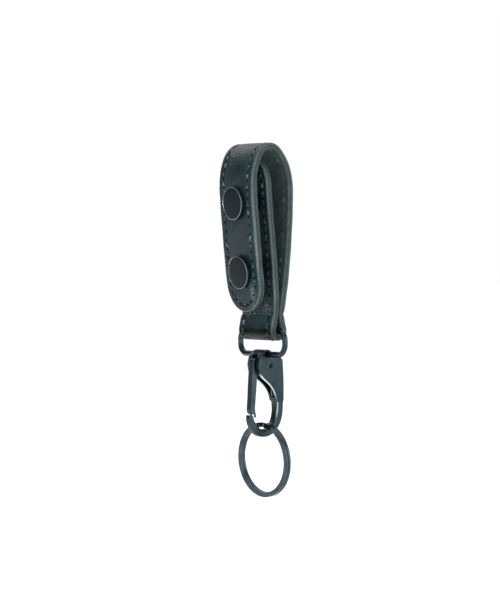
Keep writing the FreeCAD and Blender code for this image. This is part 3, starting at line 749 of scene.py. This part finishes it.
@dataclass
class LeatherLoop:
    """The leather itself: grain face, cut edge and lining face in one closed skin, in two joined lengths."""

    strip: Strip
    row_step: float = 0.6
    groove_depth: float = 0.42
    groove_width: float = 0.45
    corner: float = 0.55          # radius of the grain face's rubbed corner
    lining_corner: float = 0.4
    island: float = 40.0          # how far the unwrapped edges and lining lie from the grain face

    def profile(self) -> tuple[Array, Array, Array, Array]:
        """Return the half section's columns, from the middle of the grain face round the edge to the lining.

        Returns:
            Inset from the edge, offset in depth, share of the thickness in depth, and material number.
        """
        face = [11.25, 10.2, 9.2, 8.0, 7.0, 6.0, 5.0, 4.4, 4.0, 3.75, 3.55, 3.4, 3.28, 3.16, 3.0, 2.84, 2.72, 2.6,
                2.45, 2.25, 1.95, 1.6, 1.25, 0.95, 0.72]
        turn = np.radians(np.linspace(0, 90, 6))
        c, q, share = self.corner, self.lining_corner, self.strip.layer_share
        rows = [(k, 0.0, 0.0, 0) for k in face]
        rows += [(c - c * math.sin(a), c - c * math.cos(a), 0.0, 0) for a in turn]
        rows += [(-0.04, 0.12, share * 0.6, 1), (-0.03, -0.3, share, 1), (0.03, -0.12, share, 1),
                 (0.16, -0.02, share, 1), (0.16, 0.03, share, 1), (0.02, 0.13, share, 1),
                 (-0.05, 0.32, share, 1), (-0.04, -q - 0.15, 1.0, 1)]
        rows += [(q - q * math.cos(a), -q + q * math.sin(a), 1.0, 1) for a in turn]
        rows += [(k, 0.0, 1.0, 2) for k in face[::-1]]
        inset, offset, part, skin = np.array(rows).T
        return inset, offset, part, skin.astype(int)

    def rows(self, first: float, last: float, flap: bool) -> tuple[Array, Array, Array]:
        """Return the outline's rows of one length: centre along the strip and unit (along, across).

        Args:
            first: where the two lengths join.
            last: the length's rounded end.
            flap: whether that end is the flap's.
        Returns:
            Centre, unit along and unit across for every row.
        """
        s = self.strip
        hub = last + s.radius if flap else last - s.radius
        count = int(abs(hub - first) / self.row_step)
        closer = np.linspace(0, 1, count)**1.15      # rows lie closer together at the bend
        straight = first + (hub - first) * closer
        sweep = np.radians(np.linspace(0, 180, 72))[1:-1]
        away = -1.0 if flap else 1.0
        centre = np.concatenate([straight, np.full(sweep.shape, hub), straight[::-1]])
        along = np.concatenate([np.zeros(count), away * np.sin(sweep), np.zeros(count)])
        across = np.concatenate([np.ones(count), np.cos(sweep), -np.ones(count)])
        return centre, along, across

    def grain_lift(self, along: Array, across: Array, inset: Array) -> Array:
        """Return how far the grain face stands proud: sewn groove, soft crown, cap seats, seam, waves."""
        s = self.strip
        lift = -self.groove_depth * bump(inset, s.thread_inset, self.groove_width) + 0 * along
        lift += 0.12 * ease(inset, 3.4, 8.0) + 0.05 * bump(inset, 1.5, 0.9)
        for height in SNAP_HEIGHTS.values():
            reach = np.hypot(along - s.flap_at(height), across)
            lift -= 0.22 * bump(reach, 6.9, 1.3)
        for seam in (s.back_seam, s.tab_seam):
            lift -= 0.45 * bump(along, seam, 0.8)
        wave = np.sin(along / 7.3 + 1.0) * np.sin(across / 6.1 + 0.4) + 0.6 * np.sin(along / 3.7 + across / 4.0)
        return lift + 0.05 * wave * ease(inset, 0.0, 3.0)

    def crease_weight(self, along: Array, across: Array) -> Array:
        """Return where the leather is creased: by the flap's near lower corner, the seam and the bends."""
        s = self.strip
        low_corner = bump(along, s.start + 11.0, 7.0) * ease(across, -1.0, 6.5)
        at_tab = bump(along, s.tab_seam + 2.5, 4.0) * (0.5 + 0.5 * ease(across, 0.0, 8.0))
        at_fold = 0.5 * bump(along, s.fold_bottom, 6.0)
        at_arch = 0.18 * bump(along, s.top - 3.0, 14.0)
        return np.clip(low_corner + at_tab + at_fold + at_arch, 0.03, 1.0)

    def wear(self, along: Array, across: Array, inset: Array, down: Array) -> dict[str, Array]:
        """Return what the leather's materials read at every point, by attribute name.

        Args:
            along: lengths along the strip.
            across: x.
            inset: distance in from the edge, one for each column.
            down: distance under the grain face, one for each column.
        Returns:
            The attributes, flat: creases, the glue line, the fold's polished band with its painted dark reflection,
                rubbed places and the painted crease highlights.
        """
        s = self.strip
        # painted highlight: the creases by the flap's lower corner and by the tab seam are painted pale
        crease_highlight = bump(along, s.start + 8.0, 5.0) * bump(across, 6.4, 1.7)
        measures = {
            "inset": np.broadcast_to(inset, along.shape),
            "crease": self.crease_weight(along, across),
            "glue_line": np.broadcast_to(bump(down, s.layer_share * s.mean_thickness, 0.1), along.shape),
            # painted reflection: the fold's polished band, painted dark
            "polish_and_dark_reflection": 0.97 * bump(along, s.fold_bottom + 5.7, 2.0),
            "rub": 0.3 + 0.4 * bump(along, s.start + 20.0, 26.0) + 0.35 * bump(along, s.tab_seam + 4.0, 8.0),
            "crease_highlight": 0.9 * (crease_highlight + bump(along, s.tab_seam + 3.2, 2.6) * bump(across, 6.4, 2.2)),
        }
        return {name: values.ravel() for name, values in measures.items()}

    def length_of_strip(self, name: str, flap: bool) -> bpy.types.Object:
        """Build one length, from the join to its rounded end, as a closed skin.

        Args:
            name: the piece's name.
            flap: True for the flap's length, False for the strap's.
        Returns:
            The new object.
        """
        s = self.strip
        centre, unit_along, unit_across = self.rows(s.join, s.start if flap else s.end, flap)
        inset, offset, part, skin = self.profile()
        reach = s.radius - inset
        edge_wave = 0.1 * np.sin(centre / 5.3 + 2.0 * unit_across) + 0.06 * np.sin(centre / 1.9 + unit_across)
        edge_wave = edge_wave * (np.abs(centre - s.join) > 2.0)
        reach = reach[None, :] + edge_wave[:, None] * ease(reach, 7.0, 10.0)[None, :]
        along = centre[:, None] + reach * unit_along[:, None]
        across = reach * unit_across[:, None]
        lift = self.grain_lift(along, across, inset[None, :])
        lining_lift = -0.15 * bump(inset, s.thread_inset, self.groove_width)[None, :] * np.ones_like(along)
        upper = np.clip(1 - part * 2.5, 0, 1)[None, :]
        lower = np.clip(part * 2.5 - 1.5, 0, 1)[None, :]
        depth = offset[None, :] + part[None, :] * s.thick(along) - lift * upper + lining_lift * lower
        points = s.place(along, across, depth).reshape(-1, 3)
        rows, columns = along.shape
        quads = grid_faces(rows, columns)
        first, last = list(range(columns)), list(range((rows - 1) * columns, rows * columns))
        turned = outward(points - points.mean(0), quads) is not quads
        faces = [tuple(face[::-1] if turned else face) for face in quads]
        cap = first + last[::-1]
        faces.append(tuple(cap[::-1] if flap == turned else cap))
        down = offset + part * s.mean_thickness
        across_skin = np.concatenate([[0], np.cumsum(np.hypot(np.diff(inset), np.diff(down)))])
        girth = across_skin[None, :] * np.ones((rows, 1))
        side = np.sign(unit_across + 1e-9)[:, None] * self.island
        unwrapped = np.stack([along, np.where(skin[None, :] == 0, across, side + girth)], -1).reshape(-1, 2)
        face_skin = np.append(np.tile(skin[:-1], rows - 1), 1)
        surface = Surface(points, faces, face_skin, unwrapped, self.wear(along, across, inset, down))
        return surface.to_object(name, [f.material() for f in (Finish.LEATHER, Finish.EDGE, Finish.LINING)])

    def build(self) -> None:
        """Make both lengths, let the strap's ride with the strap, and let them stand for the plain strips."""
        strap = self.length_of_strip("strap_leather", False)
        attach(strap, "strap")
        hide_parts("strap_outer_leather", "strap_lining")
        flap = self.length_of_strip("flap_leather", True)
        bend_flap(self.strip, flap)
        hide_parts("flap_outer_leather", "flap_lining")
        report(strap, flap)


def bend_flap(strip: Strip, piece: bpy.types.Object) -> None:
    """Bake a piece of the flap's place into its mesh; the bend's ends, from behind the arch's top to the flap's
    shoulder, are worked out but not used.
    """
    ends = np.array([strip.join, strip.top - strip.bend_before_top])
    start, end = strip.place(ends, np.zeros(2), np.zeros(2)) * MM
    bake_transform(piece)


def report(*pieces: bpy.types.Object) -> None:
    """Log each finished piece with its face count."""
    for piece in pieces:
        LOG.info("%s: %d faces", piece.name, len(piece.data.polygons))


@dataclass
class Stitching:
    """Lockstitch along the strip's edges and across the foot of the loop."""

    strip: Strip
    pitch: float = 3.5
    stitch: float = 2.75          # visible length of one stitch
    radius: float = 0.33
    sink: float = 0.2             # depth of the groove that the thread lies in
    cross_count: int = 6
    seed: int = 11

    def template(self) -> tuple[Array, Array, Array]:
        """Return one stitch as (along, aside, up): a round thread that dips at both ends."""
        t = np.linspace(-1, 1, 9)[:, None]
        angle = np.linspace(0, 2 * math.pi, 8, endpoint=False)[None, :]
        size = self.radius * (1 - 0.35 * np.abs(t) ** 3)
        middle = 0.12 - 0.62 * np.abs(t) ** 3.0
        along = t * self.stitch / 2 + 0 * angle
        return along, size * np.cos(angle), middle + size * np.sin(angle)

    def row_of(self, centres: Array, path: Callable, height: Array, over: Callable) -> Surface:
        """Return a row of stitches laid along a path.

        Args:
            centres: where each stitch's middle is, along the path.
            path: gives (along strip, across strip, direction along, direction across) at a path length.
            height: one lift for each stitch.
            over: turns (along strip, across strip, lift) into points.
        Returns:
            The stitches as one surface of separate closed threads.
        """
        along, aside, up = self.template()
        at = centres[:, None, None] + along[None]
        s, x, ds, dx = path(at)
        s = s - dx * aside[None]
        x = x + ds * aside[None]
        points = over(s, x, up[None] + height[:, None, None])
        count, rings, sides = points.shape[:3]
        flat = points.reshape(-1, 3)
        one = grid_faces(rings, sides, False, True)
        first = points[0].reshape(-1, 3)
        turned = outward(first - first.mean(0), one) is not one
        one = one[:, ::-1] if turned else one
        base = np.arange(count)[:, None, None] * rings * sides
        faces = [tuple(face) for face in (base + one[None]).reshape(-1, 4)]
        for shift in range(0, count * rings * sides, rings * sides):
            near = list(range(shift, shift + sides))
            far = list(range(shift + (rings - 1) * sides, shift + rings * sides))
            faces += [tuple(near if turned else near[::-1]), tuple(far[::-1] if turned else far)]
        girth = np.linspace(0, 2 * math.pi * self.radius, sides, endpoint=False)
        unwrapped = np.stack(np.broadcast_arrays(at, girth[None, None, :]), -1).reshape(-1, 2)
        return Surface(flat, faces, unwrapped=unwrapped)

    def edge_rows(self, name: str, flap: bool) -> bpy.types.Object:
        """Return the edge stitches of the flap's length or of the strap's, on both faces."""
        s = self.strip
        total = s.stitch_length()
        count = int(total / self.pitch)
        rng = np.random.default_rng(self.seed)
        centres = (np.arange(count) + 0.5) * total / count
        height = rng.uniform(-0.06, 0.05, count)
        where = s.stitch_path(centres)[0]
        mine = where < s.join if flap else where >= s.join
        clear = (np.abs(where - s.back_seam) > 1.5) & (np.abs(where - s.tab_seam) > 1.5)
        mine = mine & clear
        sink = self.sink
        grain = self.row_of(centres[mine], s.stitch_path, height[mine],
                            lambda a, x, up: s.place(a, x, sink - up))
        inner = np.abs(where - s.fold_bottom) > 9.0
        lining = self.row_of(centres[mine & inner], s.stitch_path, height[mine & inner] * 0.5 - 0.12,
                             lambda a, x, up: s.place(a, x, s.thick(a) - 0.1 + up))
        return together([grain, lining]).to_object(name, [Finish.THREAD.material()])

    def cross_rows(self) -> bpy.types.Object:
        """Return the stitches that hold the tab to the strap above the fold, front and back."""
        s = self.strip
        span = s.width - 3.0
        centres = (np.arange(self.cross_count) + 0.5) * span / self.cross_count - span / 2
        still = np.zeros(self.cross_count)
        rows = []
        for seam in (s.back_seam, s.tab_seam):
            def path(at: Array, seam: float = seam) -> tuple:
                """Return the straight seam's place and direction across the strip."""
                return np.full(at.shape, seam), at, np.zeros(at.shape), np.ones(at.shape)
            rows.append(self.row_of(centres, path, still, lambda a, x, up: s.place(a, x, 0.35 - up)))
        return together(rows).to_object("cross_seam_stitches", [Finish.THREAD.material()])

    def build(self) -> None:
        """Make every row and let it stand for the plain thread."""
        strap = self.edge_rows("strap_edge_stitches", False)
        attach(strap, "strap")
        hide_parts("strap_edge_thread")
        flap = self.edge_rows("flap_edge_stitches", True)
        bend_flap(self.strip, flap)
        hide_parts("flap_edge_thread")
        seam = self.cross_rows()
        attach(seam, "strap")
        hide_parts("cross_seam_thread")
        report(strap, flap, seam)


# ---------------------------------------------------------------- hardware

@dataclass
class SnapCap:
    """A snap's cap: a nearly flat pressed dome with a rolled rim that catches the light."""

    strip: Strip
    label: str
    height: float
    radius: float = 6.65
    proud: float = 2.0
    turns: int = 96

    def profile(self) -> Array:
        """Return the cap's section: shallow dome, shoulder, side, rolled hem and underside."""
        r, top = self.radius, self.proud
        dome = [(x, top - 0.16 * (x / (r - 0.35)) ** 2.6) for x in np.linspace(0, r - 0.35, 10)]
        turn = np.radians(np.linspace(8, 90, 7))
        shoulder = [(r - 0.32 + 0.26 * math.sin(a), top - 0.42 + 0.25 * math.cos(a)) for a in turn]
        hem = [(r - 0.05, 1.1), (r, 0.75), (r, 0.4), (r - 0.08, 0.2), (r - 0.3, 0.04), (r - 0.6, -0.05)]
        return np.array(dome + shoulder + hem + [(2.0, -0.05), (0.0, -0.05)])

    def build(self) -> None:
        """Turn the cap about its axis, square to the flap, and let it stand for the plain cap."""
        at = np.array(self.strip.flap_at(self.height))
        foot = self.strip.place(at, np.array(0.0), np.array(0.0))
        axis = foot - self.strip.place(at, np.array(0.0), np.array(1.0))
        surface = lathe(self.profile(), self.turns, foot, axis, np.array([1.0, 0.0, 0.0]))
        cap = surface.to_object("cap_" + self.label, [Finish.CAP.material()])
        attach(cap, "flap")
        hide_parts("snap_cap_" + self.label)
        report(cap)


@dataclass
class RectangularRing:
    """Round wire bent to a flat rectangle; its top bar lies in the leather fold."""

    y: float                      # the fold's middle, where the top bar lies
    top_z: float
    span: float = 30.6
    drop: float = 9.7
    corner: float = 4.2
    wire: float = 1.2

    def path(self) -> Array:
        """Return the middle of the wire: four straight bars joined by quarter circles."""
        half, r = self.span / 2, self.corner
        low, high = self.top_z - self.drop, self.top_z
        side = half - r
        hubs = ((side, low + r, -90), (side, high - r, 0), (-side, high - r, 90), (-side, low + r, 180))
        parts = []
        for x, z, first in hubs:
            turn = np.radians(np.linspace(first, first + 90, 14))
            parts.append(np.stack([x + r * np.cos(turn), z + r * np.sin(turn)], 1))
        corners = np.concatenate(parts)
        closed = np.vstack([corners, corners[:1]])
        gaps = np.linalg.norm(np.diff(closed, axis=0), axis=1)
        extra = [np.linspace(a, b, 10, endpoint=False) if gap > 1.0 else a[None]
                 for a, b, gap in zip(closed[:-1], closed[1:], gaps)]
        return np.concatenate(extra)

    def build(self) -> None:
        """Carry a round section along the wire's path and let it stand for the plain ring."""
        flat = self.path()
        path = np.stack([flat[:, 0], np.full(len(flat), self.y), flat[:, 1]], 1)
        along = np.roll(path, -1, 0) - np.roll(path, 1, 0)
        along /= np.linalg.norm(along, axis=1)[:, None]
        up = np.tile([0.0, 1.0, 0.0], (len(path), 1))
        across = np.cross(along, up)
        angle = np.linspace(0, 2 * math.pi, 28, endpoint=False)
        section = self.wire * np.stack([np.cos(angle), np.sin(angle)], 1)
        ring = swept(path, across, up, section, True).to_object("wire_ring", [Finish.RING.material()])
        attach(ring, "ring")
        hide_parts("rectangular_ring")
        report(ring)


@dataclass
class SnapHook:
    """The die-cast hook and its pressed gate, with softened edges, and the rivet with its dimpled ends."""

    body_cell: float = 0.15
    gate_cell: float = 0.1
    pivot_y: float = 4.46
    pivot_z: float = -86.2
    half_width: float = 4.13

    def rivet(self) -> Surface:
        """Return the rivet: a shank with a low rim round a dimple at each end."""
        head = [(0, -1.0), (0.14, -0.94), (0.84, -0.2), (0.98, 0.0), (1.14, 0.1), (1.3, 0.1), (1.55, 0.04),
                (1.8, -0.02), (1.94, -0.08), (2.0, -0.2), (1.05, -1.2)]
        end = np.array(head) + [0.0, self.half_width]
        profile = np.vstack([end, end[::-1] * [1.0, -1.0]])
        centre = np.array([0.0, self.pivot_y, self.pivot_z])
        return lathe(profile, 48, centre, np.array([1.0, 0, 0]), np.array([0, 1.0, 0]))

    def rub(self, mesh: bpy.types.Mesh) -> None:
        """Write where the casting gets painted highlights of pale bare metal: the near wall's lower edge, where it
        faces down and forward, and the spine's front corner.
        """
        x, y, z = vertex_rows(mesh, "co") / MM
        normal_x, normal_y, normal_z = vertex_rows(mesh, "normal")
        front = np.maximum(-normal_y, 0)
        outer = ease(np.abs(x), 1.9, 2.3) * (y < 9.0)
        slant = 0.62 * front + 0.78 * np.maximum(-normal_z, 0)
        # painted highlight: the near wall's lower edge, on faces that point down and forward
        wall = ease(slant, 0.72, 0.93) * outer * ease(z, -100.5, -97.5) * (1 - ease(z, -91.0, -88.0))
        corner = 0.707 * (np.abs(normal_x) + front) * (normal_y < 0)
        # painted highlight: the spine's corner between its near and front faces
        spine = ease(corner, 0.9, 0.99) * ease(z, -109.0, -104.0) * (1 - ease(z, -98.0, -95.0)) * ease(y, 7.0, 8.0)
        mesh.attributes.new("wear", "FLOAT", "POINT").data.foreach_set(
            "value", np.clip(wall + 0.8 * spine, 0, 1).astype(np.float32))

    def build(self) -> None:
        """Make the body, the gate and the rivet."""
        body = softened("hook_casting", "hook_body", self.body_cell, 5)
        self.rub(body.data)
        body.data.materials.append(Finish.HOOK.material())
        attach(body, "hook")
        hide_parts("hook_body")
        gate = softened("gate_pressing", "hook_gate", self.gate_cell, 2)
        gate.data.materials.append(Finish.GATE.material())
        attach(gate, "gate")
        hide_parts("hook_gate")
        rivet = self.rivet().to_object("dimpled_rivet", [Finish.HOOK.material()])
        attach(rivet, "hook")
        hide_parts("gate_rivet")
        report(body, gate, rivet)


@dataclass
class KeyRing:
    """Split ring: flat spring band wound twice, flat but for the jog where one turn passes the other."""

    radius: float = 15.1
    band: float = 2.0
    coil: float = 1.18
    pitch: float = 1.3
    y: float = 3.3
    top_z: float = -110.95
    jog: float = 9.0              # degrees from the jog's middle to each end of it
    jog_at: float = 90.0          # degrees round the ring, from +X towards +Z
    turned: float = 5.0           # degrees about the hook's bottom, seen from above
    tipped: float = 3.0           # degrees that its foot hangs away from the snap caps
    steps: int = 360

    def build(self) -> None:
        """Wind the band and let it stand for the plain ring."""
        middle = self.radius - self.band / 2
        hub_z = self.top_z - (self.radius - self.band)
        turn = np.linspace(self.jog, 720 - self.jog, self.steps)
        share = ease(turn, 360 - self.jog, 360 + self.jog)
        angle = np.radians(turn + self.jog_at)
        spoke = np.stack([np.cos(angle), np.zeros_like(angle), np.sin(angle)], 1)
        path = np.array([0, self.y, hub_z]) + middle * spoke
        path[:, 1] += self.pitch * (share - 0.5)
        up = np.tile([0.0, 1.0, 0.0], (self.steps, 1))
        hang = Matrix.Rotation(math.radians(self.turned), 3, "Z") @ Matrix.Rotation(math.radians(self.tipped), 3, "X")
        hang = np.array(hang)
        top = np.array([0, self.y, self.top_z])
        path, spoke, up = top + (path - top) @ hang.T, spoke @ hang.T, up @ hang.T
        half, tall, r = self.band / 2, self.coil / 2, 0.28
        turns = np.radians(np.linspace(0, 90, 5))
        section = []
        for quarter, (x, y) in enumerate(((1, 1), (-1, 1), (-1, -1), (1, -1))):
            a = turns + quarter * math.pi / 2
            section += list(zip(x * (half - r) + r * np.cos(a), y * (tall - r) + r * np.sin(a)))
        ring = swept(path, spoke, up, np.array(section), False).to_object("split_ring", [Finish.KEY.material()])
        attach(ring, "key_ring")
        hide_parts("key_ring")
        report(ring)


def dress_cad_nodes() -> None:
    """Give the small CAD parts that stay their real finishes."""
    finishes = {"gate_spring": Finish.SPRING}
    for label in SNAP_HEIGHTS:
        for part in ("socket", "stud", "eyelet"):
            finishes[f"snap_{part}_{label}"] = Finish.SNAP
        finishes["snap_spring_" + label] = Finish.SPRING
    for name, finish in finishes.items():
        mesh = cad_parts[name].data
        mesh.materials.clear()
        mesh.materials.append(finish.material())
        LOG.info("%s keeps its shape", name)


# ---------------------------------------------------------------- studio

class Softbox(Enum):
    """The softboxes: azimuth and elevation in degrees, distance, width and height in metres, watts."""

    SIDE_SOFTBOX = (122, 12, 0.9, 0.7, 0.7, 1.1)
    FAR_SOFTBOX = (268, 38, 0.8, 0.3, 0.3, 0.85)
    NEAR_STRIP = (100, 8, 0.8, 0.08, 0.5, 2.4)
    FRONT_STRIP = (2, 4, 0.8, 0.035, 0.5, 1.2)
    FAR_STRIP = (264, 0, 0.8, 0.1, 0.5, 4.0)


@dataclass
class Studio:
    """White paper, soft light from all round and the camera."""

    azimuth: float = 55.0
    distance: float = 1.12
    focal: float = 168.0
    level_z: float = -0.040       # height of the camera
    pitch: float = 1.02           # degrees that it looks down
    aside: float = 0.00248        # how far it stands to the left of the loop's middle
    floor_gap: float = 0.012
    dim_side: float = 0.12        # brightness of the studio's unlit side
    bright_side: tuple[float, float, float] = (0.82, 0.57, 0.0)

    def build(self) -> None:
        """Make the floor, the world, the lamps and the camera."""
        low, high = CAD_BOX
        reach = 6.0
        floor_z = low.z - self.floor_gap
        corners = np.array([(-reach, -reach, floor_z), (reach, -reach, floor_z), (reach, reach, floor_z),
                            (-reach, reach, floor_z)]) / MM
        floor = Surface(corners, [(0, 1, 2, 3)]).to_object("paper_floor", [Finish.PAPER.material()])
        world = bpy.data.worlds.new("studio")
        world.use_nodes = True
        tree = world.node_tree
        tree.nodes.clear()
        sky = Graph(tree)
        where = sky.add("TexCoord", {}, "Generated")
        side = sky.add("VectorMath", {0: where, 1: self.bright_side}, "Value", operation="DOT_PRODUCT")
        fall = sky.add("MapRange", {"Value": side, "From Min": -0.92, "From Max": -0.35, "To Min": self.dim_side,
                                    "To Max": 1.0}, interpolation_type="SMOOTHSTEP")
        seen = sky.add("LightPath", {}, "Is Camera Ray")
        strength = sky.add("Math", {0: fall, 1: seen}, operation="MAXIMUM")
        light = sky.add("Background", {"Color": (1, 1, 1, 1), "Strength": strength})
        sky.add("OutputWorld", {"Surface": light})
        bpy.context.scene.world = world
        middle = Vector((low + high) / 2)
        for box in Softbox:
            self.lamp(box, middle)
        over = bpy.data.lights.new("overhead", "SUN")
        over.energy, over.angle = 0.6, math.radians(60)
        bpy.context.scene.collection.objects.link(bpy.data.objects.new("overhead", over))
        self.camera()

    def lamp(self, box: Softbox, target: Vector) -> None:
        """Add a softbox that points at the target."""
        azimuth, elevation, distance, width, height, power = box.value
        a, e = math.radians(azimuth), math.radians(elevation)
        back = Vector((math.sin(a) * math.cos(e), -math.cos(a) * math.cos(e), math.sin(e)))
        data = bpy.data.lights.new(box.name.lower(), "AREA")
        data.energy = power
        data.shape = "RECTANGLE"
        data.size, data.size_y = width, height
        lamp = bpy.data.objects.new(box.name.lower(), data)
        lamp.location = target + back * distance
        lamp.rotation_euler = (-back).to_track_quat("-Z", "Y").to_euler()
        bpy.context.scene.collection.objects.link(lamp)

    def camera(self) -> None:
        """Add the camera: nearly level, seen across the loop's open side."""
        a, p = math.radians(self.azimuth), math.radians(self.pitch)
        back = Vector((math.sin(a), -math.cos(a), 0))
        right = Vector((math.cos(a), math.sin(a), 0))
        look = -back * math.cos(p) - Vector((0, 0, 1)) * math.sin(p)
        data = bpy.data.cameras.new("camera")
        data.lens = self.focal
        data.sensor_width = 36.0
        data.clip_start = 0.05
        camera = bpy.data.objects.new("camera", data)
        camera.location = back * self.distance - right * self.aside + Vector((0, 0, self.level_z))
        camera.rotation_euler = look.to_track_quat("-Z", "Y").to_euler()
        bpy.context.scene.collection.objects.link(camera)
        bpy.context.scene.camera = camera


def main() -> None:
    """Build every sub-assembly in order."""
    logging.basicConfig(level=logging.INFO, format="%(name)s %(message)s")
    bpy.context.scene.view_settings.view_transform = "Standard"
    strip = Strip()
    LeatherLoop(strip).build()
    Stitching(strip).build()
    for label, height in SNAP_HEIGHTS.items():
        SnapCap(strip, label, height).build()
    RectangularRing(strip.fold_y, strip.fold_z).build()
    SnapHook().build()
    KeyRing().build()
    dress_cad_nodes()
    Studio().build()


if __name__ == "__main__":
    main()
